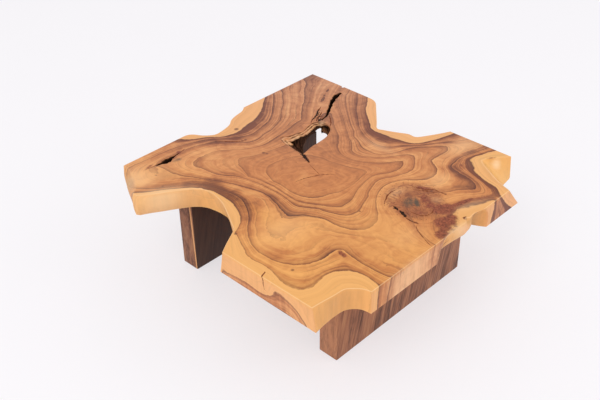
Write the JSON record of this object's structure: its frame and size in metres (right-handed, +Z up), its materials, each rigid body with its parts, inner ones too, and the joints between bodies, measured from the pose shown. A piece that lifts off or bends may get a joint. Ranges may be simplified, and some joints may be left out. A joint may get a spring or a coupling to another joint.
{
  "type": "coffee table",
  "caption": "Coffee table: a thick, roughly square slice of a tree's root flare with live edges, a natural hole and drying cracks, on plank legs bolted on from below.",
  "frame": {"origin": "floor level, under the middle of the slab's sawn square", "axes": "+Z up; +X along the legs, from the slab's left sawn end to its right one; +Y from the front sawn side to the back one"},
  "size_m": [1.2, 1.212, 0.45],
  "materials": {
    "slab_wood": "satin clear oil",
    "leg_wood": "satin oil",
    "steel": "zinc plated",
    "brass": "plain",
    "dowel_wood": "raw beech",
    "felt": "pressed felt"
  },
  "bodies": {
    "root": {"slab_top": "slab_wood", "front_leg": "leg_wood", "rear_leg": "leg_wood", "front_bolt_1": "steel", "front_washer_1": "steel", "front_insert_1": "brass", "front_bolt_2": "steel", "front_washer_2": "steel", "front_insert_2": "brass", "front_bolt_3": "steel", "front_washer_3": "steel", "front_insert_3": "brass", "front_dowel_1": "dowel_wood", "front_dowel_2": "dowel_wood", "rear_bolt_1": "steel", "rear_washer_1": "steel", "rear_insert_1": "brass", "rear_bolt_2": "steel", "rear_washer_2": "steel", "rear_insert_2": "brass", "rear_bolt_3": "steel", "rear_washer_3": "steel", "rear_insert_3": "brass", "rear_dowel_1": "dowel_wood", "rear_dowel_2": "dowel_wood", "front_pad_outer_left": "felt", "front_pad_outer_right": "felt", "front_pad_inner_left": "felt", "front_pad_inner_right": "felt", "rear_pad_outer_left": "felt", "rear_pad_outer_right": "felt", "rear_pad_inner_left": "felt", "rear_pad_inner_right": "felt"}
  },
  "joints": []
}
